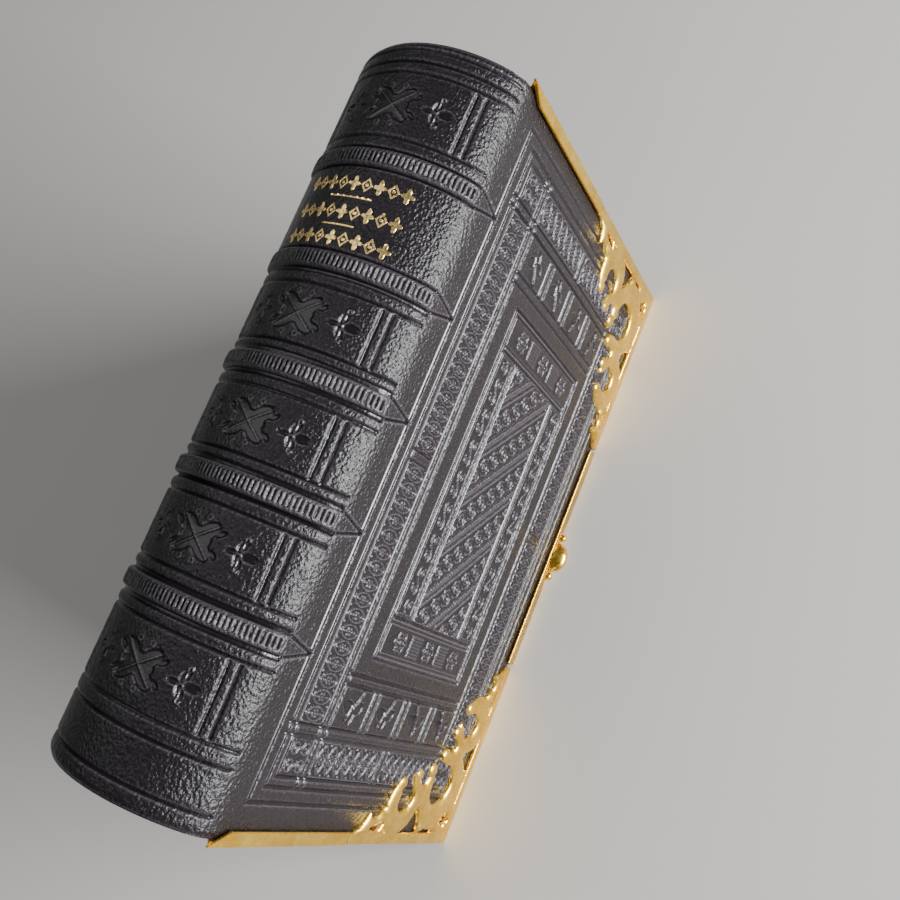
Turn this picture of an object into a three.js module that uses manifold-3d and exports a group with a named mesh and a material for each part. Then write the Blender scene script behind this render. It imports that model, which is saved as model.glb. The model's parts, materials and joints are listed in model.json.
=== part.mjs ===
// A thick pocket prayer book bound in black leather, with gilt-brass rims, pierced corner
// castings and a fore-edge clasp. It stands on its fore edge with the spine up.
// Units are millimetres: +X out of the front cover, +Y towards the head, +Z towards the spine.
import * as THREE from 'three';
import { mergeVertices } from 'three/addons/utils/BufferGeometryUtils.js';
import Module from 'manifold-3d';

const wasm = await Module();
wasm.setup();

// Cover size
const COVER_HEIGHT = 180;
const COVER_WIDTH = 110;
const BOOK_THICKNESS = 51;
const HALF_HEIGHT = COVER_HEIGHT / 2;

// Layers of one cover, as distances from the middle of the book
const RIM_FACE = BOOK_THICKNESS / 2;
const LEATHER_FACE = RIM_FACE - 1;
const LEATHER_THICK = 0.75;
const BOARD_INNER = 20.95;
const LEATHER_INNER = 20.4;
const PASTEDOWN_THICK = 0.18;
const FLYLEAF_INNER = 19.6;
const FLYLEAF_THICK = 0.25;
const SEAT_GAP = 0.1;

// Brass rim that wraps the cover's edges
const RIM_WALL = 1.0;
const RIM_FLANGE = 3.2;
const RIM_INNER_FLANGE = 2.6;
const RIM_INNER_THICK = 0.5;
const LEATHER_EDGE = RIM_WALL + 0.15;
const RAIL_GAP = 1.0;
const RAIL_SLANT = 5;
const RAIL_JOINT_END = 1.6;

// Corner castings
const CASTING_ARM = 56;
const CASTING_BASE = LEATHER_FACE + 0.05;
const CASTING_RISE = 1.7;
const CASTING_BEVEL = 0.35;

// Spine: arcs about one line, so every layer keeps its thickness
const SPINE_BULGE = 12.2;
const SPINE_RADIUS = (LEATHER_FACE ** 2 + SPINE_BULGE ** 2) / (2 * SPINE_BULGE);
const SPINE_CENTRE = COVER_WIDTH + SPINE_BULGE - SPINE_RADIUS;
const SPINE_LEATHER_THICK = 1.0;
const SPINE_START = COVER_WIDTH + 0.3;
const SPINE_HALF = 89;
const HOLLOW_OUTER = SPINE_RADIUS - SPINE_LEATHER_THICK - 0.25;
const HOLLOW_THICK = 0.45;
const LINING_OUTER = HOLLOW_OUTER - HOLLOW_THICK - 0.25;
const LINING_THICK = 0.45;
const BLOCK_BACK = LINING_OUTER - LINING_THICK - 0.2;
const ARC_STEPS = 18;
const BAND_PROFILE_STEPS = 4;

// Raised bands
const BAND_POSITIONS = [58, 31.5, 6, -20.5, -48];
const BAND_HALF_WIDTH = 2.6;
const BAND_RISE = 1.6;
const CORE_HALF_WIDTH = 1.5;
const CORE_RISE = 0.85;

// Text block
const GATHERINGS = 10;
const BLOCK_HALF_THICK = 19.3;
const BLOCK_HALF_HEIGHT = 86.5;
const LEAF_WIDTH = 107.4;
const GATHERING_GAP = 0.14;
const BEAD_RADIUS = 1.0;

// Clasp
const NOTCH_HALF = 7.8;
const NOTCH_TOP = 2.35;
const CLASP_HALF = 7.4;
const CLASP_BOTTOM = 0.2;
const CLASP_THICK = 0.75;
const CLASP_HINGE_X = -23.5;
const CLASP_HINGE_Z = 1.15;
const KNUCKLE_RADIUS = 0.95;
const KNUCKLE_BORE = 0.43;
const PIN_RADIUS = 0.36;
const BARREL_HALF = 4.6;
const LOBE_REACH = 4.1;

// The lug sticks out of the front only, so the covers sit a little behind the origin
const BOUNDS_SHIFT = (RIM_FACE + LOBE_REACH - CASTING_BASE - CASTING_RISE) / 2;

// Rim pins, as [distance from the head or tail edge, distance from the fore edge]
const RIM_PIN_SPOTS = [[1.75, 60], [40, 1.75]];
const RIM_PIN_RADIUS = 0.4;
const RIM_PIN_HEAD = 0.75;

const MATERIALS = {
  leather: { color: 0x17141a, roughness: 0.45, metalness: 0 },
  brass: { color: 0xd9a94f, roughness: 0.28, metalness: 1 },
  board: { color: 0x8a7658, roughness: 0.9, metalness: 0 },
  paper: { color: 0xe9dfc6, roughness: 0.85, metalness: 0 },
  leaves: { color: 0xd8b56a, roughness: 0.5, metalness: 0.2 },
  silk: { color: 0xb8912e, roughness: 0.6, metalness: 0 },
  endpaper: { color: 0xe6d9b8, roughness: 0.8, metalness: 0 },
  cord: { color: 0xb9a47c, roughness: 0.9, metalness: 0 },
};

// ---------- solids ----------

function toSolid(geometry) {
  const bare = geometry.clone();
  bare.deleteAttribute('normal');
  bare.deleteAttribute('uv');
  const merged = mergeVertices(bare, 1e-4);
  return new wasm.Manifold(new wasm.Mesh({
    numProp: 3,
    vertProperties: new Float32Array(merged.attributes.position.array),
    triVerts: new Uint32Array(merged.index.array),
  }));
}

function toGeometry(solid) {
  const mesh = solid.getMesh();
  const geometry = new THREE.BufferGeometry();
  geometry.setAttribute('position', new THREE.BufferAttribute(mesh.vertProperties, 3));
  geometry.setIndex(new THREE.BufferAttribute(mesh.triVerts, 1));
  return geometry;
}

function box(x0, x1, y0, y1, z0, z1) {
  const geometry = new THREE.BoxGeometry(x1 - x0, y1 - y0, z1 - z0);
  geometry.translate((x0 + x1) / 2, (y0 + y1) / 2, (z0 + z1) / 2);
  return toSolid(geometry);
}

function rodAlong(axis, radius, from, to, centre, segments) {
  const geometry = new THREE.CylinderGeometry(radius, radius, to - from, segments);
  if (axis === 'x') {
    geometry.rotateZ(-Math.PI / 2);
    geometry.translate((from + to) / 2, centre[0], centre[1]);
  } else {
    geometry.translate(centre[0], (from + to) / 2, centre[1]);
  }
  return toSolid(geometry);
}

// A closed solid through loops that all have the same number of points
function loft(loops) {
  const count = loops[0].length;
  const points = loops.flat();
  const triangles = [];
  for (let i = 0; i + 1 < loops.length; i += 1) {
    for (let j = 0; j < count; j += 1) {
      const a = i * count + j;
      const b = i * count + ((j + 1) % count);
      triangles.push(a, b, b + count, a, b + count, a + count);
    }
  }
  const last = (loops.length - 1) * count;
  for (let j = 1; j + 1 < count; j += 1) {
    triangles.push(0, j + 1, j, last, last + j, last + j + 1);
  }
  const geometry = new THREE.BufferGeometry();
  geometry.setAttribute('position', new THREE.Float32BufferAttribute(points.flat(), 3));
  geometry.setIndex(triangles);
  return outward(geometry);
}

// Turns a closed mesh's faces outwards if they point in
function outward(geometry) {
  const p = geometry.attributes.position;
  const index = geometry.index.array;
  const a = new THREE.Vector3();
  const b = new THREE.Vector3();
  const c = new THREE.Vector3();
  let volume = 0;
  for (let i = 0; i < index.length; i += 3) {
    a.fromBufferAttribute(p, index[i]);
    b.fromBufferAttribute(p, index[i + 1]);
    c.fromBufferAttribute(p, index[i + 2]);
    volume += a.dot(b.cross(c));
  }
  if (volume < 0) {
    flip(geometry);
  }
  return geometry;
}

function flip(geometry) {
  const index = geometry.index.array;
  for (let i = 0; i < index.length; i += 3) {
    [index[i], index[i + 1]] = [index[i + 1], index[i]];
  }
  return geometry;
}

// The mirror image of a solid in the plane across one axis
function mirrored(solid, axis) {
  const geometry = toGeometry(solid);
  const scale = new THREE.Vector3(1, 1, 1);
  scale[axis] = -1;
  geometry.scale(scale.x, scale.y, scale.z);
  return toSolid(flip(geometry));
}

// Extrudes an outline drawn in the cover's plane, as [y, z], from x0 outwards
function plateFrom(outline, holes, x0, thick, bevel) {
  const shape = new THREE.Shape(outline.map((p) => new THREE.Vector2(p[0], p[1])));
  for (const hole of holes) {
    shape.holes.push(new THREE.Path(hole.map((p) => new THREE.Vector2(p[0], p[1]))));
  }
  const geometry = new THREE.ExtrudeGeometry(shape, {
    depth: thick - 2 * bevel,
    bevelEnabled: bevel > 0,
    bevelThickness: bevel,
    bevelSize: bevel,
    bevelOffset: -bevel,
    bevelSegments: 1,
    curveSegments: 4,
  });
  geometry.translate(0, 0, bevel);
  const turn = new THREE.Matrix4().makeBasis(
    new THREE.Vector3(0, 1, 0),
    new THREE.Vector3(0, 0, 1),
    new THREE.Vector3(1, 0, 0),
  );
  geometry.applyMatrix4(turn);
  geometry.translate(x0, 0, 0);
  return toSolid(geometry);
}

// ---------- the casting's outline ----------

// Half outline from the arm's end to the diagonal, as [along the edge, away from the edge].
// Each run is a smooth curve, and runs meet in a cusp.
const CASTING_RUNS = [
  [[54.5, 3.0], [52.6, 4.4], [51.3, 6.4], [50, 8.8]],
  [[50, 8.8], [47.2, 7.0], [44.6, 7.2], [43, 9.8], [41.8, 13.2], [39, 14.9], [36, 14.4]],
  [[36, 14.4], [34.9, 16.6], [33.6, 19.0], [31.6, 19.2], [29.3, 17.4]],
  [[29.3, 17.4], [27.0, 19.6], [24.6, 21.4], [22.4, 21.6], [20.7, 20.7]],
];
const CASTING_ROUND_HOLES = [[33.8, 11.2, 2.9, 12]];
const CASTING_CORNER_HOLE = [15.6, 4.6, 16];
const CASTING_SLITS = [
  [[46.5, 4.2], [40.6, 4.2], [38.8, 6.0]],
  [[29.6, 3.9], [22.6, 3.9], [24.6, 6.9], [28.2, 6.4]],
  [[17.4, 4.6], [12.6, 4.6], [15.0, 8.6]],
  [[24.8, 9.0], [21.6, 9.0], [22.9, 12.4], [25.6, 12.2]],
];
const CASTING_QUATREFOIL = [7.1, 2.5, 1.1];

function smooth(points, divisions) {
  const curve = new THREE.CatmullRomCurve3(
    points.map((p) => new THREE.Vector3(p[0], p[1], 0)),
    false,
    'centripetal',
  );
  return curve.getPoints(divisions).map((p) => [p.x, p.y]);
}

function circle(a, b, radius, segments) {
  const points = [];
  for (let i = 0; i < segments; i += 1) {
    const t = (2 * Math.PI * i) / segments;
    points.push([a + radius * Math.cos(t), b + radius * Math.sin(t)]);
  }
  return points;
}

function castingOutline() {
  const half = [[54.5, 0.6]];
  for (const run of CASTING_RUNS) {
    half.push(...smooth(run, run.length + 1).slice(0, -1));
  }
  const diagonal = CASTING_RUNS[CASTING_RUNS.length - 1].slice(-1);
  const other = half.map((p) => [p[1], p[0]]).reverse();
  return [[0.6, 0.6], ...half, ...diagonal, ...other];
}

function castingHoles() {
  const holes = [];
  const bothWays = (points) => {
    holes.push(points);
    holes.push(points.map((p) => [p[1], p[0]]).reverse());
  };
  for (const [a, b, radius, segments] of CASTING_ROUND_HOLES) {
    bothWays(circle(a, b, radius, segments));
  }
  for (const slit of CASTING_SLITS) {
    bothWays(slit);
  }
  const [centre, radius, segments] = CASTING_CORNER_HOLE;
  holes.push(circle(centre, centre, radius, segments));
  const [middle, outer, inner] = CASTING_QUATREFOIL;
  const petals = [];
  for (let i = 0; i < 16; i += 1) {
    const t = (2 * Math.PI * i) / 16;
    const reach = inner + (outer - inner) * Math.abs(Math.sin(2 * t));
    petals.push([middle + reach * Math.cos(t), middle + reach * Math.sin(t)]);
  }
  holes.push(petals);
  return holes;
}

// ---------- rim ----------

// A straight U-section rim along an edge of the front cover, from s0 to s1 along that edge
function rimAlong(edge, s0, s1) {
  const outer = [LEATHER_FACE + 0.05, RIM_FACE];
  const inner = [LEATHER_INNER - 0.1 - RIM_INNER_THICK, LEATHER_INNER - 0.1];
  const wall = [inner[0], outer[1]];
  const strips = [
    [outer, RIM_FLANGE],
    [wall, RIM_WALL],
    [inner, RIM_INNER_FLANGE],
  ];
  let rim = null;
  for (const [[x0, x1], width] of strips) {
    const strip = edge === 'fore'
      ? box(x0, x1, s0, s1, 0, width)
      : box(x0, x1, HALF_HEIGHT - width, HALF_HEIGHT, s0, s1);
    rim = rim ? rim.add(strip) : strip;
  }
  return rim;
}

// The cut that slants the outer flange's end at the joint
function slantCut() {
  const zEnd = COVER_WIDTH - RAIL_JOINT_END;
  const outline = [
    [HALF_HEIGHT + 1, zEnd],
    [HALF_HEIGHT + 1, zEnd + 10],
    [HALF_HEIGHT - RIM_FLANGE - 1, zEnd + 10],
    [HALF_HEIGHT - RIM_FLANGE - 1, zEnd - RAIL_SLANT - 1],
    [HALF_HEIGHT - RIM_FLANGE, zEnd - RAIL_SLANT],
  ];
  return plateFrom(outline, [], LEATHER_FACE, 2, 0);
}

function headRail() {
  const rail = rimAlong('head', CASTING_ARM + RAIL_GAP, COVER_WIDTH - 0.4);
  return rail.subtract(slantCut());
}

function headCasting() {
  const toCover = (p) => [HALF_HEIGHT - p[1], p[0]];
  const outline = castingOutline().map(toCover);
  const holes = castingHoles().map((hole) => hole.map(toCover));
  const scroll = plateFrom(outline, holes, CASTING_BASE, CASTING_RISE, CASTING_BEVEL);
  const alongHead = rimAlong('head', 0, CASTING_ARM);
  const alongFore = rimAlong('fore', HALF_HEIGHT - CASTING_ARM + 2, HALF_HEIGHT);
  return scroll.add(alongHead).add(alongFore);
}

function foreRail() {
  const end = HALF_HEIGHT - CASTING_ARM + 2 - RAIL_GAP;
  const notch = box(0, 40, -NOTCH_HALF, NOTCH_HALF, -1, NOTCH_TOP);
  return rimAlong('fore', -end, end).subtract(notch);
}

// The back rail also carries the two outer knuckles of the clasp's hinge
function backForeRail() {
  let rail = mirrored(foreRail(), 'x');
  for (const side of [-1, 1]) {
    const near = side * (BARREL_HALF + 0.25);
    const far = side * (NOTCH_HALF + 0.05);
    const from = Math.min(near, far);
    const to = Math.max(near, far);
    const centre = [CLASP_HINGE_X, CLASP_HINGE_Z];
    rail = rail.add(rodAlong('y', KNUCKLE_RADIUS, from, to, centre, 20));
    rail = rail.subtract(rodAlong('y', KNUCKLE_BORE, from - 0.5, to + 0.5, centre, 14));
  }
  return rail;
}

// ---------- cover ----------

function pinSpots() {
  const spots = [];
  for (const side of [-1, 1]) {
    for (const [fromHead, fromFore] of RIM_PIN_SPOTS) {
      spots.push([side * (HALF_HEIGHT - fromHead), fromFore]);
    }
  }
  return spots;
}

// Holes for the rim's pins, from the inner face into the board
function withPinHoles(solid) {
  let drilled = solid;
  for (const spot of pinSpots()) {
    drilled = drilled.subtract(rodAlong('x', RIM_PIN_RADIUS + 0.08, 19, 22.2, spot, 12));
  }
  return drilled;
}

function rimPin(spot) {
  const face = LEATHER_INNER - 0.1 - RIM_INNER_THICK;
  const shank = rodAlong('x', RIM_PIN_RADIUS, face - 0.2, 22, spot, 12);
  const head = rodAlong('x', RIM_PIN_HEAD, face - 0.45, face - 0.05, spot, 12);
  return shank.add(head);
}

function claspRecess() {
  const half = NOTCH_HALF + 0.3;
  return box(0, 40, -half, half, -1, NOTCH_TOP + 0.65);
}

function coverBoard() {
  const edge = LEATHER_EDGE + LEATHER_THICK + SEAT_GAP;
  const outer = LEATHER_FACE - LEATHER_THICK - SEAT_GAP;
  const half = HALF_HEIGHT - edge;
  const board = box(BOARD_INNER, outer, -half, half, edge, COVER_WIDTH - 1);
  return withPinHoles(board.subtract(claspRecess()));
}

function coverLeather() {
  const half = HALF_HEIGHT - LEATHER_EDGE;
  const inset = half - LEATHER_THICK;
  const skin = box(LEATHER_INNER, LEATHER_FACE, -half, half, LEATHER_EDGE, COVER_WIDTH - 0.15);
  const pocket = box(
    BOARD_INNER - SEAT_GAP,
    LEATHER_FACE - LEATHER_THICK,
    -inset,
    inset,
    LEATHER_EDGE + LEATHER_THICK,
    COVER_WIDTH - 0.9,
  );
  const window = box(LEATHER_INNER - 1, BOARD_INNER, -inset + 14, inset - 14, 16, 100);
  const lined = skin.subtract(pocket).subtract(window).subtract(claspRecess());
  return withPinHoles(lined);
}

function pastedown() {
  const inner = LEATHER_INNER - 0.05 - PASTEDOWN_THICK;
  return box(inner, LEATHER_INNER - 0.05, -86, 86, 4, COVER_WIDTH - 1);
}

function flyleaf() {
  const outer = FLYLEAF_INNER + FLYLEAF_THICK;
  return box(FLYLEAF_INNER, outer, -86, 86, 5, COVER_WIDTH - 0.6);
}

// ---------- spine ----------

function arcPoint(radius, angle) {
  return [radius * Math.sin(angle), SPINE_CENTRE + radius * Math.cos(angle)];
}

function angleAtHeight(radius, z) {
  return Math.acos((z - SPINE_CENTRE) / radius);
}

// A curved shell between two radii, running from y0 to y1
function arcShell(inner, outer, y0, y1) {
  const loops = [];
  const reach = angleAtHeight(outer, SPINE_START);
  for (let i = 0; i <= ARC_STEPS; i += 1) {
    const angle = -reach + (2 * reach * i) / ARC_STEPS;
    const [xi, zi] = arcPoint(inner, angle);
    const [xo, zo] = arcPoint(outer, angle);
    loops.push([[xi, y0, zi], [xi, y1, zi], [xo, y1, zo], [xo, y0, zo]]);
  }
  return toSolid(loft(loops));
}

// A raised band across the spine: it dies away towards both joints
function bandSolid(y, halfWidth, rise, base, reach) {
  const loops = [];
  for (let i = 0; i <= ARC_STEPS; i += 1) {
    const angle = -reach + (2 * reach * i) / ARC_STEPS;
    const fade = Math.min(1, (1 - Math.abs(angle) / reach) / 0.3);
    const height = rise * (fade * fade * (3 - 2 * fade)) + 0.02;
    const loop = [];
    for (let j = 0; j <= BAND_PROFILE_STEPS; j += 1) {
      const t = (Math.PI * j) / BAND_PROFILE_STEPS;
      const [x, z] = arcPoint(base + height * Math.sin(t), angle);
      loop.push([x, y - halfWidth * Math.cos(t), z]);
    }
    for (const end of [1, -1]) {
      const [x, z] = arcPoint(base - 0.4, angle);
      loop.push([x, y + end * halfWidth, z]);
    }
    loops.push(loop);
  }
  return toSolid(loft(loops));
}

function bandCore(y) {
  const base = SPINE_RADIUS - SPINE_LEATHER_THICK + 0.25;
  return bandSolid(y, CORE_HALF_WIDTH, CORE_RISE, base, 0.62);
}

function spineLeather() {
  const inner = SPINE_RADIUS - SPINE_LEATHER_THICK;
  const reach = angleAtHeight(SPINE_RADIUS, SPINE_START) - 0.02;
  let leather = arcShell(inner, SPINE_RADIUS, -SPINE_HALF, SPINE_HALF);
  for (const y of BAND_POSITIONS) {
    leather = leather.add(bandSolid(y, BAND_HALF_WIDTH, BAND_RISE, SPINE_RADIUS, reach));
    const clearance = 0.15;
    const base = inner + 0.25;
    const hollow = bandSolid(y, CORE_HALF_WIDTH + clearance, CORE_RISE + clearance, base, 0.64);
    leather = leather.subtract(hollow);
  }
  const below = box(-40, 40, -HALF_HEIGHT, HALF_HEIGHT, 0, SPINE_START);
  return leather.subtract(below);
}

// A bead worked over a cord, sitting on the end of the text block behind the spine
function endBand(side) {
  const loops = [];
  const reach = 0.68;
  const radius = BLOCK_BACK - BEAD_RADIUS;
  const y = side * (BLOCK_HALF_HEIGHT + 0.15 + BEAD_RADIUS);
  for (let i = 0; i <= ARC_STEPS; i += 1) {
    const angle = -reach + (2 * reach * i) / ARC_STEPS;
    const loop = [];
    for (let j = 0; j < 8; j += 1) {
      const t = (2 * Math.PI * j) / 8;
      const [x, z] = arcPoint(radius + BEAD_RADIUS * Math.cos(t), angle);
      loop.push([x, y + BEAD_RADIUS * Math.sin(t), z]);
    }
    loops.push(loop);
  }
  return toSolid(loft(loops));
}

// ---------- text block ----------

function gathering(number) {
  const thick = (2 * BLOCK_HALF_THICK) / GATHERINGS;
  const x0 = -BLOCK_HALF_THICK + number * thick + GATHERING_GAP / 2;
  const x1 = x0 + thick - GATHERING_GAP;
  const steps = 3;
  const back = [];
  const fore = [];
  for (let i = 0; i <= steps; i += 1) {
    const x = x0 + ((x1 - x0) * i) / steps;
    const z = SPINE_CENTRE + Math.sqrt(BLOCK_BACK ** 2 - x ** 2);
    back.push([x, z]);
    fore.push([x, z - LEAF_WIDTH]);
  }
  const section = [...fore, ...back.reverse()];
  const ends = [-BLOCK_HALF_HEIGHT, BLOCK_HALF_HEIGHT];
  return toSolid(loft(ends.map((y) => section.map(([x, z]) => [x, y, z]))));
}

// ---------- clasp ----------

function claspStrap() {
  const top = CLASP_BOTTOM + CLASP_THICK;
  const wide = box(CLASP_HINGE_X + 1.35, 24.2, -CLASP_HALF, CLASP_HALF, CLASP_BOTTOM, top);
  const neck = box(CLASP_HINGE_X, -21, -BARREL_HALF, BARREL_HALF, CLASP_BOTTOM, top);
  const centre = [CLASP_HINGE_X, CLASP_HINGE_Z];
  const barrel = rodAlong('y', KNUCKLE_RADIUS, -BARREL_HALF, BARREL_HALF, centre, 20);
  const bore = rodAlong('y', KNUCKLE_BORE, -BARREL_HALF - 1, BARREL_HALF + 1, centre, 14);
  return wide.add(neck).add(barrel).subtract(bore);
}

// The end that shows past the front cover: a cupped lobe between two beads
function claspLug() {
  const topFace = 2.1;
  const face = RIM_FACE;
  let lug = box(24.3, face, -CLASP_HALF, CLASP_HALF, CLASP_BOTTOM, topFace);
  const loops = [];
  const halfWidth = 4.6;
  const steps = 10;
  for (let i = 0; i <= steps; i += 1) {
    const y = halfWidth * 0.98 * (-1 + (2 * i) / steps);
    const reach = (LOBE_REACH - 0.1) * Math.sqrt(1 - (y / halfWidth) ** 2) + 0.1;
    const upper = [];
    const lower = [];
    for (let j = 0; j <= 3; j += 1) {
      const s = j / 3;
      const x = face - 0.3 + (reach + 0.3) * s;
      const lift = 1.0 * s * s;
      upper.push([x, y, 1.05 + lift]);
      lower.push([x, y, 0.3 + lift * 0.75]);
    }
    loops.push([...upper, ...lower.reverse()]);
  }
  lug = lug.add(toSolid(loft(loops)));
  for (const side of [-1, 1]) {
    const bead = new THREE.SphereGeometry(0.95, 10, 6);
    bead.translate(face + 0.7, side * 6.2, 1.17);
    lug = lug.add(toSolid(bead));
  }
  return lug;
}

function claspPin() {
  const reach = NOTCH_HALF - 0.3;
  return rodAlong('y', PIN_RADIUS, -reach, reach, [CLASP_HINGE_X, CLASP_HINGE_Z], 14);
}

function catchPlate() {
  return box(20.5, 24.3, -6.5, 6.5, NOTCH_TOP + 0.05, NOTCH_TOP + 0.55);
}

// ---------- assembly ----------

const group = new THREE.Group();
group.name = 'prayer_book';

function place(name, solid, materialName) {
  const geometry = toGeometry(solid).toNonIndexed();
  geometry.translate(-BOUNDS_SHIFT, 0, 0);
  geometry.computeVertexNormals();
  const material = new THREE.MeshStandardMaterial(MATERIALS[materialName]);
  material.name = materialName;
  const mesh = new THREE.Mesh(geometry, material);
  mesh.name = name;
  group.add(mesh);
}

function placeTextBlock() {
  for (let i = 0; i < GATHERINGS; i += 1) {
    place(`gathering_${String(i + 1).padStart(2, '0')}`, gathering(i), 'leaves');
  }
  const lining = arcShell(LINING_OUTER - LINING_THICK, LINING_OUTER, -86, 86);
  const hollow = arcShell(HOLLOW_OUTER - HOLLOW_THICK, HOLLOW_OUTER, -86, 86);
  place('spine_lining', lining, 'paper');
  place('spine_hollow', hollow, 'paper');
  BAND_POSITIONS.forEach((y, i) => place(`band_core_${i + 1}`, bandCore(y), 'cord'));
  place('headband', endBand(1), 'silk');
  place('tailband', endBand(-1), 'silk');
  place('spine_leather', spineLeather(), 'leather');
}

// The front cover is drawn, and the back cover is its mirror image
function placeCover(side) {
  const turn = (solid) => (side === 'front' ? solid : mirrored(solid, 'x'));
  place(`${side}_board`, turn(coverBoard()), 'board');
  place(`${side}_leather`, turn(coverLeather()), 'leather');
  place(`${side}_pastedown`, turn(pastedown()), 'endpaper');
  const rail = withPinHoles(headRail());
  const casting = withPinHoles(headCasting());
  place(`${side}_head_rail`, turn(rail), 'brass');
  place(`${side}_tail_rail`, turn(mirrored(rail, 'y')), 'brass');
  place(`${side}_head_casting`, turn(casting), 'brass');
  place(`${side}_tail_casting`, turn(mirrored(casting, 'y')), 'brass');
  pinSpots().forEach((spot, i) => place(`${side}_rim_pin_${i + 1}`, turn(rimPin(spot)), 'brass'));
  place(`${side}_flyleaf`, turn(flyleaf()), 'endpaper');
}

placeTextBlock();
placeCover('front');
placeCover('back');
place('front_fore_rail', foreRail(), 'brass');
place('back_fore_rail', backForeRail(), 'brass');
place('front_catch_plate', catchPlate(), 'brass');
place('clasp_pin', claspPin(), 'brass');
place('clasp_strap', claspStrap(), 'brass');
place('clasp_lug', claspLug(), 'brass');

export default group;
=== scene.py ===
"""A black leather prayer book with raised bands, blind tooling, brass rims and corner castings."""
import json
import math

import bmesh
import bpy
import numpy as np
from mathutils import Matrix, Vector


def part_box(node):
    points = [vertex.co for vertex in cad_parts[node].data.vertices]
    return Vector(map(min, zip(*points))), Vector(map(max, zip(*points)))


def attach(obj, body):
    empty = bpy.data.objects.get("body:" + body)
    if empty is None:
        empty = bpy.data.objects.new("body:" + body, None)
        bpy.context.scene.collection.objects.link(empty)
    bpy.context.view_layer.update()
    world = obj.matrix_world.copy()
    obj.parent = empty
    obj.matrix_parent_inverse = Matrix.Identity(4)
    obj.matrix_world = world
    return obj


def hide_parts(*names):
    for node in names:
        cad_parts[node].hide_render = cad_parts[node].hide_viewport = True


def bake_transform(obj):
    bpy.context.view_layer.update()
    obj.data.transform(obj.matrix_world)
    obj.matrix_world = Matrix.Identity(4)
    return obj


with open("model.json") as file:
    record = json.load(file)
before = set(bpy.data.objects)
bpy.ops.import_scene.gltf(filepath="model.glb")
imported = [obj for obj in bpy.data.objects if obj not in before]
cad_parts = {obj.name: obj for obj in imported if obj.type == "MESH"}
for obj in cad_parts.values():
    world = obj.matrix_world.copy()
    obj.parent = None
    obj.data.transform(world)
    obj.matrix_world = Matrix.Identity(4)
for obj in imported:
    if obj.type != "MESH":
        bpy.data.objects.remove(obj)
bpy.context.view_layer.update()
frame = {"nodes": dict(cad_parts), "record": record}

# Lengths below are in millimetres, and become metres where a mesh is made.
MM = 0.001

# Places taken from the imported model
LEATHER_LOW, LEATHER_HIGH = (np.array(corner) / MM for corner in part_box("front_leather"))
SPINE_LOW, SPINE_HIGH = (np.array(corner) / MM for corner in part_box("spine_leather"))
MIDDLE_X = (SPINE_LOW[0] + SPINE_HIGH[0]) / 2
FACE = LEATHER_HIGH[0] - MIDDLE_X
LEATHER_BACK = LEATHER_LOW[0] - MIDDLE_X
JOINT_HEIGHT = 110.0
COVER_HALF = 90.0
BOARD_EDGE = LEATHER_HIGH[1]
SPINE_HALF = SPINE_HIGH[1]

# The section across the spine: an arc, a soft shoulder, then the flat of the cover
SPINE_BULGE = 12.2
SPINE_RADIUS = (FACE**2 + SPINE_BULGE**2) / (2 * SPINE_BULGE)
SPINE_CENTRE = JOINT_HEIGHT + SPINE_BULGE - SPINE_RADIUS
SHOULDER_RADIUS = 10.0
SHOULDER_X = FACE - SHOULDER_RADIUS
SHOULDER_Z = SPINE_CENTRE + math.sqrt((SPINE_RADIUS - SHOULDER_RADIUS) ** 2 - SHOULDER_X**2)
SHOULDER_ANGLE = math.atan2(SHOULDER_X, SHOULDER_Z - SPINE_CENTRE)
ARC_END = SPINE_RADIUS * SHOULDER_ANGLE
SHOULDER_END = ARC_END + SHOULDER_RADIUS * (math.pi / 2 - SHOULDER_ANGLE)

# Where the leather is split: the joint strip bends between the spine and the cover. The cover's leather
# takes over some way below the joint, and runs on a little way under the strip.
JOINT_START = 22.6
JOINT_DROP = 8.2
COVER_START = SHOULDER_END + (SHOULDER_Z - (JOINT_HEIGHT - JOINT_DROP))
TUCK_LENGTH = 8.0
TUCK_DEPTH = 0.25

# The grid and the thickness of the leather's sheets, and how sharp an edge has to be to get a painted
# highlight
GRID = 0.27
SKIN = 0.9
EDGE_CURVE = 2.2

# Cover tooling, as distances from the middle of the tooled panel
PANEL_MIDDLE = 55.2
PANEL_RISE = 0.6
PANEL_LINE = (47.0, 81.3)
COVER_CROWN = 1.5
BEVEL_DROP = 0.45
OUTER_PAIR = ((43.6, 77.8), (41.2, 75.4))
INNER_PAIR = ((32.15, 66.1), (29.7, 63.6))
ROW_PAIR = (52.9, 50.5)
FRAME_PAIR = ((23.5, 45.8), (21.9, 44.5))
FIELD_PAIR = (36.4, 35.1)
FIELD_SIDES = (14.25, 12.85)
FIELD_SLOPE = 42.4
FIELD_STEP = 9.9
FIELD_OFFSET = 25.5
BAR_OFFSET = 1.32
SIDE_BARS = 15.1
CHAIN_HALF = 3.9
ROSETTE_PLACES = (0.0, 14.6)
HATCHED_PLACE = 7.3
LEAF_PLACES = (8.1, 23.1)
LEAF_ROW = 58.0

# Spine tooling, as distances from the head
BANDS = (32.1, 58.4, 84.2, 110.7, 138.3)
BAND_HALF = 1.9
BAND_RISE = 0.62
BAND_POINT = 37.0
BAND_TAPER = 9.0
FILLET_REACH = 28.2
HEAD_TURN = 2.2
SPINE_FILLETS = (3.6, 6.7, 9.6, 26.6, 61.6, 64.4, 78.8, 81.0, 87.3, 90.0, 105.3, 107.6, 113.6, 116.6,
                 132.6, 135.2, 141.4, 144.2, 161.3, 164.9, 174.6)
SPINE_PANELS = ((10.4, 26.0), (65.0, 78.4), (90.6, 105.0), (117.2, 132.2), (144.8, 160.8))
SPINE_SIDE_LINES = (18.7, 21.3)

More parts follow.
